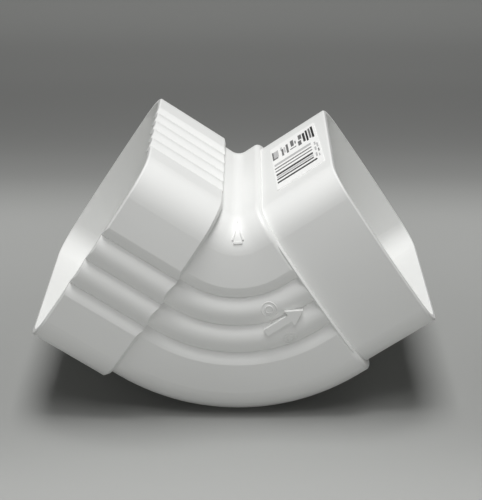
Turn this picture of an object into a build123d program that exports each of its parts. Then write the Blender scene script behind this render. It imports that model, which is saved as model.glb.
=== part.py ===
from build123d import *
import os
from math import cos, radians, sin

# Downspout elbow for a 3 x 4 inch rectangular downspout, one moulding of white vinyl.
# The bend lies in the XZ plane and the elbow stands on its heel, the outside of the bend.
# X runs with the flow, from the socket to the spigot. Y is the bend axis, and its negative
# side is the face with the grooves and the arrow. The origin is on the floor, under the middle
# of the elbow's length.

# Duct section, measured over the outside of the body
body_width = 83.0  # from throat to heel, in the plane of the bend
body_depth = 108.0  # along the bend axis, over the crowns
side_crown = 4.3  # how far each grooved or plain side bows out
wall = 2.2
body_corner = 14.0

# Bend
throat_radius = 4.5
bend_angle = 67.2
inlet_rise = 33.4  # angle of the inlet leg above the floor

# Inlet socket, which slips over the pipe above
inlet_neck = 4.9
socket_length = 34.4
socket_step = 2.8
socket_corner = 16.0
socket_edge = 1.3

# Outlet spigot, which slips into the pipe below
outlet_neck = 7.0
spigot_length = 32.4
spigot_step = 2.6
spigot_corner = 13.3
shoulder_edge = 2.0

# Mouth edges
rim_edge = 0.6

# Scalloped rows: sharp creases with rounded crests between them
scallop_pitch = 11.8
scallop_depth = 2.4
crest_drop = 0.12
throat_creases = 5
side_creases = 3

# Flow arrow, raised on the side of the body along the outlet leg
arrow_length = 17.4
arrow_head_length = 6.2
arrow_head_width = 7.2
arrow_shaft_width = 2.9
arrow_height = 0.7
arrow_tip_station = 0.2

# Paper label on the throat side of the spigot
label_length = 57.0
label_width = 22.3
label_thickness = 0.2
label_corner = 1.0
label_turn = -2.8
label_shift = 1.0  # from the spigot's middle towards its rim

# Places that follow from the sizes above
outlet_rise = bend_angle - inlet_rise
axis_height = throat_radius + body_width
middle = throat_radius + body_width / 2
label_station = outlet_neck + spigot_length / 2 + label_shift
overlap = 1.0  # how far a cutter or a joined solid runs past its mate

inlet_flow = Vector(cos(radians(inlet_rise)), 0, -sin(radians(inlet_rise)))
outlet_flow = Vector(cos(radians(outlet_rise)), 0, sin(radians(outlet_rise)))
# How far the two mouths reach from the bend's centre, measured on the floor
inlet_heel = axis_height + socket_step
outlet_heel = axis_height - spigot_step
inlet_reach = (inlet_neck + socket_length) * inlet_flow.X - inlet_heel * inlet_flow.Z
outlet_reach = (outlet_neck + spigot_length) * outlet_flow.X + outlet_heel * outlet_flow.Z
bend_centre = Vector((inlet_reach - outlet_reach) / 2, 0, axis_height)
bend_axis = Axis(bend_centre, (0, -1, 0))
# On both planes local X runs from throat to heel, local Y along the bend axis, Z with the flow
inlet_plane = Plane(bend_centre, x_dir=(inlet_flow.Z, 0, -inlet_flow.X), z_dir=inlet_flow)
outlet_plane = Plane(bend_centre, x_dir=(outlet_flow.Z, 0, -outlet_flow.X), z_dir=outlet_flow)
# On the side, local X runs with the outlet leg and local Y towards the throat
outlet_side_plane = Plane(
    bend_centre + Vector(0, -body_depth / 2, 0), x_dir=outlet_flow, z_dir=(0, -1, 0)
)


def duct_section(inset, corner, crowned=True):
    """The duct's outline, inset from the body's outside, with two sides crowned or in two flats."""
    side_line = ThreePointArc if crowned else Polyline
    throat = throat_radius + inset
    heel = throat_radius + body_width - inset
    side = body_depth / 2 - inset
    edge = side - side_crown
    with BuildSketch() as section:
        with BuildLine():
            Line((throat, edge), (throat, -edge))
            side_line((throat, -edge), (middle, -side), (heel, -edge))
            Line((heel, -edge), (heel, edge))
            side_line((heel, edge), (middle, side), (throat, edge))
        make_face()
        fillet(section.vertices().filter_by(lambda v: abs(v.X - middle) > overlap), corner)
    return section.sketch


def scallop_row(creases, crown_radius=None, crested=True):
    """A row of scallops to cut away below the line Y = 0, or flats from crease to crease."""

    def surface(along):
        return -along * along / (2 * crown_radius) if crown_radius else 0.0

    crest_radius = ((scallop_pitch / 2) ** 2 + scallop_depth**2) / (2 * scallop_depth)
    end = creases * scallop_pitch / 2
    places = [(n + 0.5) * scallop_pitch - end for n in range(creases)]
    bottoms = [(along, surface(along) - scallop_depth) for along in places]
    start, finish = (-end, surface(end) + crest_drop), (end, surface(end) + crest_drop)
    with BuildSketch() as row:
        with BuildLine():
            if crested:
                RadiusArc(start, bottoms[0], crest_radius)
                for left, right in zip(bottoms, bottoms[1:]):
                    crest = (left[0] + right[0]) / 2
                    ThreePointArc(left, (crest, surface(crest) - crest_drop), right)
                RadiusArc(bottoms[-1], finish, crest_radius)
            else:
                Polyline(start, *bottoms, finish)
            Polyline(finish, (end, scallop_depth), (-end, scallop_depth), start)
        make_face()
    return row.sketch


def side_row(inset, crested=True):
    """The side's scallops in the section's plane, cut into the surface at this inset."""
    crown_radius = ((body_width / 2 - inset) ** 2 + side_crown**2) / (2 * side_crown)
    placed = Location((middle, inset - body_depth / 2, 0), (0, 0, 180))
    return scallop_row(side_creases, crown_radius, crested).moved(placed)


def throat_row(inset):
    """The throat face's flutes in the section's plane, cut into the surface at this inset."""
    return scallop_row(throat_creases).moved(Location((throat_radius + inset, 0, 0), (0, 0, 90)))


def along_bend(profile, inlet_reach, outlet_reach):
    """A profile carried straight in, round the bend and straight out."""
    with BuildPart() as swept:
        with BuildSketch(inlet_plane):
            add(profile)
        revolve(axis=bend_axis, revolution_arc=bend_angle)
        for plane, reach in ((inlet_plane, -inlet_reach), (outlet_plane, outlet_reach)):
            with BuildSketch(plane):
                add(profile)
            extrude(amount=reach)
    return swept.part


def end_face(solid, flow):
    """The face that lies furthest along the flow."""
    return solid.faces().sort_by(Axis((0, 0, 0), flow))[-1]


# Outside of the bend, with its rounded shoulder at the spigot and the grooves along its side
with BuildPart() as body:
    add(along_bend(duct_section(0, body_corner), inlet_neck + overlap, outlet_neck))
    fillet(end_face(body.part, outlet_flow).edges(), shoulder_edge)
    add(along_bend(side_row(0), inlet_neck + 2 * overlap, outlet_neck + overlap), mode=Mode.SUBTRACT)

# Outside of the socket, with bevelled ends, three grooves on the side and flutes on the throat face
with BuildPart() as socket:
    with BuildSketch(inlet_plane.offset(-inlet_neck - socket_length)):
        add(duct_section(-socket_step, socket_corner))
    extrude(amount=socket_length)
    chamfer(end_face(socket.part, inlet_flow).edges(), socket_edge)
    chamfer(end_face(socket.part, -inlet_flow).edges(), rim_edge)
    with BuildSketch(inlet_plane.offset(-inlet_neck - socket_length - overlap)):
        add(side_row(-socket_step))
        add(throat_row(-socket_step))
    extrude(amount=socket_length + 2 * overlap, mode=Mode.SUBTRACT)

# Outside of the spigot, plain and bevelled at its rim
with BuildPart() as spigot:
    with BuildSketch(outlet_plane.offset(outlet_neck - overlap)):
        add(duct_section(spigot_step, spigot_corner))
    extrude(amount=spigot_length + overlap)
    chamfer(end_face(spigot.part, outlet_flow).edges(), rim_edge)

# Flow arrow, pointing out of the spigot
with BuildPart() as arrow:
    arrow_root = scallop_depth + wall
    with BuildSketch(outlet_side_plane.offset(-arrow_root)):
        with BuildLine():
            tip = (arrow_tip_station, -middle)
            neck = arrow_tip_station - arrow_head_length
            tail = arrow_tip_station - arrow_length
            Polyline(
                tip,
                (neck, arrow_head_width / 2 - middle),
                (neck, arrow_shaft_width / 2 - middle),
                (tail, arrow_shaft_width / 2 - middle),
                (tail, -arrow_shaft_width / 2 - middle),
                (neck, -arrow_shaft_width / 2 - middle),
                (neck, -arrow_head_width / 2 - middle),
                tip,
            )
        make_face()
    extrude(amount=arrow_root + arrow_height)

# Everything outside the duct's walls
with BuildPart() as outside:
    add(body.part)
    add(socket.part)
    add(spigot.part)
    add(arrow.part)

# Inside of the duct: the socket's bore stops on a ledge, and the wall follows the outside.
# Round the bend the bore's sides are plain flats, so the wall is thickest under the crests.
with BuildPart() as socket_bore:
    with BuildSketch(inlet_plane.offset(-inlet_neck - wall)):
        add(duct_section(wall - socket_step, socket_corner - wall))
        add(side_row(wall - socket_step), mode=Mode.SUBTRACT)
        add(throat_row(wall - socket_step), mode=Mode.SUBTRACT)
    extrude(amount=-socket_length)

with BuildPart() as spigot_bore:
    with BuildSketch(outlet_plane.offset(outlet_neck - wall - overlap)):
        add(duct_section(wall + spigot_step, spigot_corner - wall))
    extrude(amount=spigot_length + wall + 2 * overlap)

with BuildPart() as body_bore:
    flat_sides = duct_section(wall, body_corner - wall, crowned=False)
    add(along_bend(flat_sides, inlet_neck + wall, outlet_neck - wall))
    flat_row = side_row(wall, crested=False)
    add(along_bend(flat_row, inlet_neck + 2 * wall, outlet_neck), mode=Mode.SUBTRACT)

with BuildPart() as elbow:
    add(outside.part)
    add(body_bore.part, mode=Mode.SUBTRACT)
    add(socket_bore.part, mode=Mode.SUBTRACT)
    add(spigot_bore.part, mode=Mode.SUBTRACT)
elbow.part.label = "elbow"

# Paper label, face to face on the spigot's throat side
with BuildPart() as label:
    label_face = throat_radius + spigot_step
    label_plane = Plane(
        outlet_plane.from_local_coords((label_face, 0, label_station)),
        x_dir=outlet_flow,
        z_dir=-outlet_plane.x_dir,
    )
    with BuildSketch(label_plane):
        with Locations(Location((0, 0, 0), (0, 0, label_turn))):
            RectangleRounded(label_width, label_length, label_corner)
    extrude(amount=label_thickness)
label.part.label = "label"

os.makedirs("parts", exist_ok=True)
export_step(elbow.part, "parts/elbow.step")
export_step(label.part, "parts/label.step")
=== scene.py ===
import math

import bpy
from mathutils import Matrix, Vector
from mathutils.bvhtree import BVHTree


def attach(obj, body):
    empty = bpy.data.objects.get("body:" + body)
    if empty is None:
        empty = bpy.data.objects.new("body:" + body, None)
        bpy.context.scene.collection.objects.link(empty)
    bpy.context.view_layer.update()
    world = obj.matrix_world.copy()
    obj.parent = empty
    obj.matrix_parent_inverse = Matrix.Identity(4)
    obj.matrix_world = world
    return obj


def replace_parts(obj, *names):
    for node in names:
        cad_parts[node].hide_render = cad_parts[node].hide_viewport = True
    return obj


MM = 0.001

# Camera, fitted to the photograph's outlines: its place in mm, its turns in degrees, its lens and
# sensor in mm, and the nearest distance it sees in metres
CAMERA_AT = (6.44, -575.8, 280.8)
CAMERA_DOWN = 21.58
CAMERA_LEFT = 0.39
CAMERA_LENS = 105.43
CAMERA_SENSOR = 36.0
CAMERA_NEAR = 0.05

# Lamps, square and soft: name, place and width in metres, power in watts. All aim at the object
LAMPS = (
    ("lamp_overhead", (0.0, -0.02, 1.08), 0.5, 8.3),
    ("lamp_front_high", (0.0, -0.42, 1.1), 0.6, 4.1),
    ("lamp_front_low", (0.0, -1.3, 0.35), 0.8, 3.2),
)
LAMP_AIM = (0.0, 0.0, 0.05)
SURROUND_COLOUR = (1.0, 1.0, 0.985)
SURROUND_STRENGTH = 0.02

# The part, in mm and degrees: the bend's centre, the outlet leg that rises from it, the spigot's
# throat face, and the rounded corner between the bend's throat and its near side
LEG_RISE = 33.8
BEND_CENTRE = Vector((1.27, 0.0, 87.5))
SPIGOT_FACE = -7.1
THROAT_CORNER = 14.0
THROAT_CORNER_RADIUS = 18.5
THROAT_CORNER_ACROSS = -37.98

# Crowned near side of the body: its middle towards the heel, its highest line and its radius
BODY_MIDDLE = 46.0
SIDE_FACE = -54.0
CROWN_RADIUS = 202.4

# Paper label on the spigot: where its middle is along the leg, its size and its turn
LABEL_ALONG = 24.2
LABEL_WIDTH = 22.3
LABEL_LENGTH = 57.0
LABEL_CORNER = 1.0
LABEL_CORNER_STEPS = 6
LABEL_TURN = 2.8
LABEL_THICKNESS = 0.2

# Print on the label: how far it stands up, and how far it leans for each mm across
INK_LIFT = 0.02
PRINT_LEAN = 0.049

# Long rules of the print: across, thickness, start and end along the leg, ink
RULES = (
    (2.9, 2.9, 13.6, 31.4, "pale"),
    (-1.7, 1.5, 13.7, 31.6, "soft"),
    (-5.7, 1.4, 14.0, 31.8, "soft"),
    (-10.4, 2.3, 14.3, 31.9, "dark"),
    (-13.5, 2.2, 14.6, 32.0, "pale"),
    (-16.4, 1.7, 14.6, 32.1, "dark"),
    (-20.5, 2.0, 14.8, 33.6, "dark"),
)

# Upright blocks of the print: middle along the leg, width, low and high end across, ink
BLOCKS = (
    (13.2, 0.7, 10.6, 21.8, "soft"),
    (14.7, 2.3, 12.2, 21.4, "pale"),
    (14.4, 2.6, 10.4, 12.2, "soft"),
    (17.3, 0.8, 17.6, 22.4, "pale"),
    (18.0, 0.9, 9.6, 19.0, "soft"),
    (19.0, 0.7, 12.0, 20.0, "pale"),
    (20.3, 1.0, 9.6, 21.8, "soft"),
    (22.7, 1.5, 14.4, 22.8, "soft"),
    (24.3, 0.6, 15.5, 19.5, "soft"),
    (23.2, 3.0, 10.9, 12.1, "soft"),
    (26.5, 1.6, 9.4, 15.8, "soft"),
    (26.6, 1.6, 17.2, 23.8, "soft"),
    (28.6, 1.1, 10.8, 23.2, "dark"),
    (30.1, 0.9, 9.2, 24.4, "black"),
    (31.5, 0.9, 10.4, 24.6, "soft"),
    (32.8, 1.0, 9.2, 25.2, "black"),
    (33.3, 0.8, -2.0, 2.2, "pale"),
    (34.4, 0.7, -6.5, -0.5, "pale"),
    (33.4, 0.8, -9.5, -4.5, "pale"),
    (34.8, 0.6, -12.5, -8.5, "soft"),
    (33.6, 0.8, -17.5, -12.5, "pale"),
    (34.9, 0.6, -18.8, -15.5, "pale"),
)

# How much light each ink gives back, and how unevenly it is laid
INKS = {"pale": 0.52, "soft": 0.16, "dark": 0.035, "black": 0.012}
INK_SPREAD = 0.15

# Round marks that the mould's pins leave beside the arrow: along the leg, towards the heel, radii.
# The section of a mark's ridge is its distance out from the radius and its lift off the side
PIN_MARKS = ((-10.8, 38.7, (2.75, 1.25)), (-10.7, 53.8, (2.45, 1.15)))
PIN_SECTION = ((0.0, -0.15), (0.06, 0.2), (0.5, 0.0), (0.5, -0.15))
PIN_STEPS = 72
PROBE_START = -100.0

# Raised outline of a narrow triangle on the throat's corner: turn round the bend and turn over
# the corner at both ends of each stroke, in degrees, then the stroke's width. The section of a
# stroke is its share of that width to the side, and its lift off the corner in mm
TRIANGLE = (
    ((2.2, 18.2), (-9.0, 57.4), 0.55),
    ((2.8, 18.2), (12.8, 57.4), 0.55),
    ((-7.0, 61.0), (10.5, 61.0), 1.1),
)
STROKE_SECTION = ((-0.5, -0.3), (-0.3, 0.4), (0.3, 0.4), (0.5, -0.3))
STROKE_STEPS = 12

# Rim of the shoulder where the side's grooves end against it: how far it reaches each way from
# the side's middle, how it sinks into the body at both ends, and its section as the place along
# the leg and the lift off the crown
RIM_HALF = 28.5
RIM_TAPER = 5.0
RIM_SINK = 0.8
RIM_SECTION = ((7.03, -2.7), (7.03, -1.1), (6.45, 0.05), (6.0, -0.1), (5.7, -0.6), (5.7, -2.6))
RIM_STEPS = 48

# Backdrop, in metres: a floor that curves up into a wall well behind the object, so that the
# object can be seen from all round
FLOOR_FRONT = -2.4
FLOOR_SEAM = -0.3
SWEEP_START = 1.2
SWEEP_RADIUS = 0.3
SWEEP_STEPS = 24
WALL_TOP = 1.4
HALF_WIDTH = 2.4

# Painted light on the backdrop paper: its shade changes with depth to stand in for the light and shade the
# lamps cast. Painted shadow lies at the object's near edge, a painted pool of light just behind the object,
# and painted fall-off of light further back, lighter again at the far end: the range in metres, then the
# stops along it
PAPER_TINT = (1.0, 1.012, 0.985)
PAINTED_LIGHT_RANGE = (-0.11, 0.74)
PAINTED_LIGHT_SHADES = (
    (0.0, 0.418),
    (0.07, 0.325),
    (0.2, 0.356),
    (0.312, 0.407),
    (0.365, 0.386),
    (0.42, 0.291),
    (0.482, 0.23),
    (0.567, 0.2),
    (0.688, 0.219),
    (0.835, 0.284),
    (1.0, 0.39),
)

# The parts of a noise's range that are spread between two values, and between two colours
VALUE_RANGE = (0.3, 0.7)
TINT_RANGE = (0.35, 0.65)


def principled(name, colour, roughness):
    """A node material with one Principled shader; returns the material, its tree and the shader."""
    material = bpy.data.materials.new(name)
    material.use_nodes = True
    tree = material.node_tree
    shader = tree.nodes["Principled BSDF"]
    shader.inputs["Base Color"].default_value = (*colour, 1.0)
    shader.inputs["Roughness"].default_value = roughness
    return material, tree, shader


def add_noise(tree, scale, detail):
    """A noise in the object's own coordinates."""
    place = tree.nodes.new("ShaderNodeTexCoord")
    noise = tree.nodes.new("ShaderNodeTexNoise")
    noise.inputs["Scale"].default_value = scale
    noise.inputs["Detail"].default_value = detail
    tree.links.new(place.outputs["Object"], noise.inputs["Vector"])
    return noise


def add_bump(tree, shader, noise, strength):
    """A faint relief from the noise."""
    bump = tree.nodes.new("ShaderNodeBump")
    bump.inputs["Strength"].default_value = strength
    bump.inputs["Distance"].default_value = MM
    tree.links.new(noise.outputs["Fac"], bump.inputs["Height"])
    tree.links.new(bump.outputs["Normal"], shader.inputs["Normal"])


def add_range(tree, noise, socket, low, high):
    """The noise spread between two values of a socket."""
    spread = tree.nodes.new("ShaderNodeMapRange")
    spread.inputs["From Min"].default_value = VALUE_RANGE[0]
    spread.inputs["From Max"].default_value = VALUE_RANGE[1]
    spread.inputs["To Min"].default_value = low
    spread.inputs["To Max"].default_value = high
    tree.links.new(noise.outputs["Fac"], spread.inputs["Value"])
    tree.links.new(spread.outputs["Result"], socket)


def add_tint(tree, noise, shader, first, second):
    """The noise as a slow drift between two close colours."""
    ramp = tree.nodes.new("ShaderNodeValToRGB")
    for stop, position, colour in zip(ramp.color_ramp.elements, TINT_RANGE, (first, second)):
        stop.position = position
        stop.color = (*colour, 1.0)
    tree.links.new(noise.outputs["Fac"], ramp.inputs["Fac"])
    tree.links.new(ramp.outputs["Color"], shader.inputs["Base Color"])


def make_vinyl():
    """White rigid vinyl, semi-gloss, with the faint unevenness of moulded plastic."""
    material, tree, shader = principled("vinyl_white", (0.84, 0.845, 0.83), roughness=0.4)
    handling = add_noise(tree, scale=22.0, detail=2.0)
    add_range(tree, handling, shader.inputs["Roughness"], low=0.34, high=0.44)
    add_tint(tree, handling, shader, (0.835, 0.84, 0.825), (0.85, 0.855, 0.84))
    add_bump(tree, shader, add_noise(tree, scale=60.0, detail=3.0), strength=0.03)
    return material


def make_paper():
    """White coated label paper."""
    material, tree, shader = principled("label_paper", (0.93, 0.93, 0.92), roughness=0.5)
    fibres = add_noise(tree, scale=900.0, detail=4.0)
    add_tint(tree, fibres, shader, (0.92, 0.92, 0.905), (0.94, 0.94, 0.93))
    add_bump(tree, shader, fibres, strength=0.02)
    return material


def make_ink(name, grey):
    """Print on the label at one level of grey, a little uneven as thermal print is."""
    material, tree, shader = principled("ink_" + name, (grey, grey, grey), roughness=0.55)
    speckle = add_noise(tree, scale=2500.0, detail=2.0)
    darker, paler = grey * (1 - INK_SPREAD), grey * (1 + INK_SPREAD)
    add_tint(tree, speckle, shader, (darker, darker, darker), (paler, paler, paler))
    return material


def make_backdrop():
    """Matt studio paper, with painted light and shade graded from front to back."""
    material, tree, shader = principled("backdrop_painted_light", PAPER_TINT, roughness=0.9)
    shader.inputs["Specular IOR Level"].default_value = 0.1
    place = tree.nodes.new("ShaderNodeTexCoord")
    parts = tree.nodes.new("ShaderNodeSeparateXYZ")
    tree.links.new(place.outputs["Object"], parts.inputs["Vector"])
    spread = tree.nodes.new("ShaderNodeMapRange")
    spread.inputs["From Min"].default_value = PAINTED_LIGHT_RANGE[0]
    spread.inputs["From Max"].default_value = PAINTED_LIGHT_RANGE[1]
    tree.links.new(parts.outputs["Y"], spread.inputs["Value"])
    # Painted light and shade: the paper's colour follows the stops, lighter and darker with depth
    ramp = tree.nodes.new("ShaderNodeValToRGB")
    ramp.color_ramp.interpolation = "CARDINAL"
    stops = ramp.color_ramp.elements
    while len(stops) < len(PAINTED_LIGHT_SHADES):
        stops.new(0.5)
    for stop, (position, shade) in zip(stops, PAINTED_LIGHT_SHADES):
        stop.position = position
        stop.color = (*(shade * part for part in PAPER_TINT), 1.0)
    tree.links.new(spread.outputs["Result"], ramp.inputs["Fac"])
    tree.links.new(ramp.outputs["Color"], shader.inputs["Base Color"])
    return material


def new_mesh(name, vertices, faces, material):
    """An object from vertices in metres and faces."""
    mesh = bpy.data.meshes.new(name)
    mesh.from_pydata(vertices, [], faces)
    mesh.materials.append(material)
    mesh.update()
    obj = bpy.data.objects.new(name, mesh)
    bpy.context.scene.collection.objects.link(obj)
    return obj


def shade_smooth(obj):
    for polygon in obj.data.polygons:
        polygon.use_smooth = True


def join_pieces(name, solids, material):
    """One piece of the object from several closed solids, each given as points in mm and faces."""
    vertices, faces = [], []
    for points, polygons in solids:
        first = len(vertices)
        vertices.extend(point * MM for point in points)
        faces.extend(tuple(first + i for i in polygon) for polygon in polygons)
    obj = new_mesh(name, vertices, faces, material)
    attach(obj, "root")
    return obj


def ring_faces(count, rings, closed=False):
    """Quads from each ring of points to the next one, and from the last to the first if closed."""
    faces = []
    for ring in range(rings if closed else rings - 1):
        here, there = ring * count, (ring + 1) % rings * count
        for j in range(count):
            k = (j + 1) % count
            faces.append((here + j, here + k, there + k, there + j))
    return faces


def closed_run(rings):
    """A solid through rings of points, closed at both ends: its points and faces."""
    count = len(rings[0])
    last = count * (len(rings) - 1)
    ends = [tuple(reversed(range(count))), tuple(range(last, last + count))]
    return [point for ring in rings for point in ring], ring_faces(count, len(rings)) + ends


def closed_hoop(rings):
    """A solid through rings of points that meets its own start: its points and faces."""
    return [point for ring in rings for point in ring], ring_faces(len(rings[0]), len(rings), closed=True)


def leg_point(along, out, across):
    """A point in mm: along the outlet leg from the bend's centre, out of its throat side, across."""
    rise = math.radians(LEG_RISE)
    flow = Vector((math.cos(rise), 0, math.sin(rise)))
    outward = Vector((-math.sin(rise), 0, math.cos(rise)))
    return BEND_CENTRE + flow * along + outward * out + Vector((0, across, 0))


def prism(outline, bottom, top):
    """A closed solid over an outline of (along, across) points, between two heights on the leg."""
    return closed_run([[leg_point(along, out, across) for along, across in outline] for out in (bottom, top)])


def label_outline():
    """The label's rounded outline, turned on the leg."""
    turn = math.radians(LABEL_TURN)
    outline = []
    for quarter, (u_side, v_side) in enumerate(((1, 1), (-1, 1), (-1, -1), (1, -1))):
        u_middle = u_side * (LABEL_WIDTH / 2 - LABEL_CORNER)
        v_middle = v_side * (LABEL_LENGTH / 2 - LABEL_CORNER)
        for i in range(LABEL_CORNER_STEPS + 1):
            angle = math.pi / 2 * (quarter + i / LABEL_CORNER_STEPS)
            u = u_middle + LABEL_CORNER * math.cos(angle)
            v = v_middle + LABEL_CORNER * math.sin(angle)
            along = LABEL_ALONG + u * math.cos(turn) - v * math.sin(turn)
            outline.append((along, u * math.sin(turn) + v * math.cos(turn)))
    return outline


def rule_outline(across, thickness, start, end):
    """A long rule, whose ends lean with the print."""
    low, high = across - thickness / 2, across + thickness / 2
    lean = PRINT_LEAN * thickness
    return [(start + lean, low), (end + lean, low), (end, high), (start, high)]


def block_outline(along, width, low, high):
    """An upright block, leaning with the print."""
    lean = PRINT_LEAN * (high - low) / 2
    left, right = along - width / 2, along + width / 2
    return [(left + lean, low), (right + lean, low), (right - lean, high), (left - lean, high)]


def build_label():
    """The paper label and the generic print on it."""
    top = SPIGOT_FACE + LABEL_THICKNESS
    sheet = prism(label_outline(), SPIGOT_FACE, top)
    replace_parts(join_pieces("label_sheet", [sheet], make_paper()), "label")
    marks = {ink: [] for ink in INKS}
    for *sizes, ink in RULES:
        marks[ink].append(prism(rule_outline(*sizes), top, top + INK_LIFT))
    for *sizes, ink in BLOCKS:
        marks[ink].append(prism(block_outline(*sizes), top, top + INK_LIFT))
    for ink, solids in marks.items():
        join_pieces("label_print_" + ink, solids, make_ink(ink, INKS[ink]))


def side_height(tree, along, inward):
    """Where the near side's surface lies across, at a place along the leg and towards the heel."""
    start = leg_point(along, -inward, PROBE_START) * MM
    return tree.ray_cast(start, Vector((0, 1, 0)))[0].y / MM


def build_pin_marks(elbow, material):
    """Two round marks, each of two fine ridges that follow the grooved side."""
    tree = BVHTree.FromPolygons(
        [vertex.co for vertex in elbow.data.vertices],
        [tuple(polygon.vertices) for polygon in elbow.data.polygons],
    )
    solids = []
    for middle_along, middle_inward, radii in PIN_MARKS:
        for radius in radii:
            rings = []
            for i in range(PIN_STEPS):
                angle = 2 * math.pi * i / PIN_STEPS
                ring = []
                for step_out, lift in PIN_SECTION:
                    along = middle_along + (radius + step_out) * math.cos(angle)
                    inward = middle_inward - (radius + step_out) * math.sin(angle)
                    ring.append(leg_point(along, -inward, side_height(tree, along, inward) - lift))
                rings.append(ring)
            solids.append(closed_hoop(rings))
    shade_smooth(join_pieces("pin_marks", solids, material))


def build_shoulder_rim(material):
    """The rim that closes the grooves' ends, in one line with the plain part of the side."""
    rings = []
    for i in range(RIM_STEPS + 1):
        offset = RIM_HALF * (2 * i / RIM_STEPS - 1)
        crown = SIDE_FACE + CROWN_RADIUS - math.sqrt(CROWN_RADIUS**2 - offset**2)
        sink = RIM_SINK * max(0.0, 1 - (RIM_HALF - abs(offset)) / RIM_TAPER) ** 2
        inward = BODY_MIDDLE + offset
        rings.append([leg_point(along, -inward, crown - lift + sink) for along, lift in RIM_SECTION])
    join_pieces("shoulder_rim", [closed_run(rings)], material)


def corner_point(turn, over, lift):
    """A point in mm above the throat's corner: degrees round the bend, degrees over the corner."""
    round_bend, round_corner = math.radians(turn), math.radians(over)
    reach = THROAT_CORNER + lift
    radial = THROAT_CORNER_RADIUS - reach * math.cos(round_corner)
    across = THROAT_CORNER_ACROSS - reach * math.sin(round_corner)
    return BEND_CENTRE + Vector((radial * math.sin(round_bend), across, -radial * math.cos(round_bend)))


def build_triangle(material):
    """The raised outline of a triangle, three strokes that follow the corner."""
    solids = []
    for (turn_a, over_a), (turn_b, over_b), width in TRIANGLE:
        over_middle = math.radians((over_a + over_b) / 2)
        radial = THROAT_CORNER_RADIUS - THROAT_CORNER * math.cos(over_middle)
        run_turn = math.radians(turn_b - turn_a) * radial
        run_over = math.radians(over_b - over_a) * THROAT_CORNER
        length = math.hypot(run_turn, run_over)
        # Degrees that one mm to the stroke's side takes, round the bend and over the corner
        side_turn = math.degrees(-run_over / length / radial)
        side_over = math.degrees(run_turn / length / THROAT_CORNER)
        rings = []
        for i in range(STROKE_STEPS + 1):
            turn = turn_a + (turn_b - turn_a) * i / STROKE_STEPS
            over = over_a + (over_b - over_a) * i / STROKE_STEPS
            ring = []
            for share, lift in STROKE_SECTION:
                aside = share * width
                ring.append(corner_point(turn + side_turn * aside, over + side_over * aside, lift))
            rings.append(ring)
        solids.append(closed_run(rings))
    join_pieces("triangle_outline", solids, material)


def build_backdrop():
    """The floor and wall in one smooth sheet."""
    profile = [(FLOOR_FRONT, 0.0), (FLOOR_SEAM, 0.0), (SWEEP_START, 0.0)]
    for i in range(1, SWEEP_STEPS + 1):
        turn = math.pi / 2 * i / SWEEP_STEPS
        depth = SWEEP_START + SWEEP_RADIUS * math.sin(turn)
        profile.append((depth, SWEEP_RADIUS * (1 - math.cos(turn))))
    profile.append((SWEEP_START + SWEEP_RADIUS, WALL_TOP))
    vertices = [(x, y, z) for y, z in profile for x in (-HALF_WIDTH, HALF_WIDTH)]
    faces = [(2 * i, 2 * i + 1, 2 * i + 3, 2 * i + 2) for i in range(len(profile) - 1)]
    sheet = new_mesh("backdrop", vertices, faces, make_backdrop())
    shade_smooth(sheet)


def add_lamp(name, at, width, watts):
    """A square area lamp at a place in metres, aimed at the object."""
    lamp = bpy.data.lights.new(name, "AREA")
    lamp.shape = "SQUARE"
    lamp.size = width
    lamp.energy = watts
    obj = bpy.data.objects.new(name, lamp)
    obj.location = at
    obj.rotation_euler = (Vector(LAMP_AIM) - Vector(at)).to_track_quat("-Z", "Y").to_euler()
    bpy.context.scene.collection.objects.link(obj)


def set_lights():
    """A soft lamp overhead, one in front of it and a weak one low in front, in a dim surround."""
    for name, at, width, watts in LAMPS:
        add_lamp(name, at, width, watts)
    world = bpy.data.worlds.new("surround")
    bpy.context.scene.world = world
    world.use_nodes = True
    background = world.node_tree.nodes["Background"]
    background.inputs["Color"].default_value = (*SURROUND_COLOUR, 1.0)
    background.inputs["Strength"].default_value = SURROUND_STRENGTH


def set_camera():
    """The photograph's view."""
    camera = bpy.data.cameras.new("camera")
    camera.sensor_width = CAMERA_SENSOR
    camera.lens = CAMERA_LENS
    camera.clip_start = CAMERA_NEAR
    obj = bpy.data.objects.new("camera", camera)
    obj.location = Vector(CAMERA_AT) * MM
    obj.rotation_euler = (math.radians(90 - CAMERA_DOWN), 0, math.radians(CAMERA_LEFT))
    bpy.context.scene.collection.objects.link(obj)
    bpy.context.scene.camera = obj


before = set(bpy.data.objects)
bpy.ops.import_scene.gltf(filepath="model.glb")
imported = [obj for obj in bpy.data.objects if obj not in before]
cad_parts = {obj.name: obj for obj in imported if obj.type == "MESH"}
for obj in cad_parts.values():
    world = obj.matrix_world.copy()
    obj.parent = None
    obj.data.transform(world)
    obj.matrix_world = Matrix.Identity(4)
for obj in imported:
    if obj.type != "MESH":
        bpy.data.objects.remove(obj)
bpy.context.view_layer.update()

vinyl = make_vinyl()
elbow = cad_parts["elbow"]
elbow.data.materials.clear()
elbow.data.materials.append(vinyl)

build_label()
build_pin_marks(elbow, vinyl)
build_triangle(vinyl)
build_shoulder_rim(vinyl)
build_backdrop()
set_lights()
set_camera()
bpy.context.scene.view_settings.view_transform = "Standard"
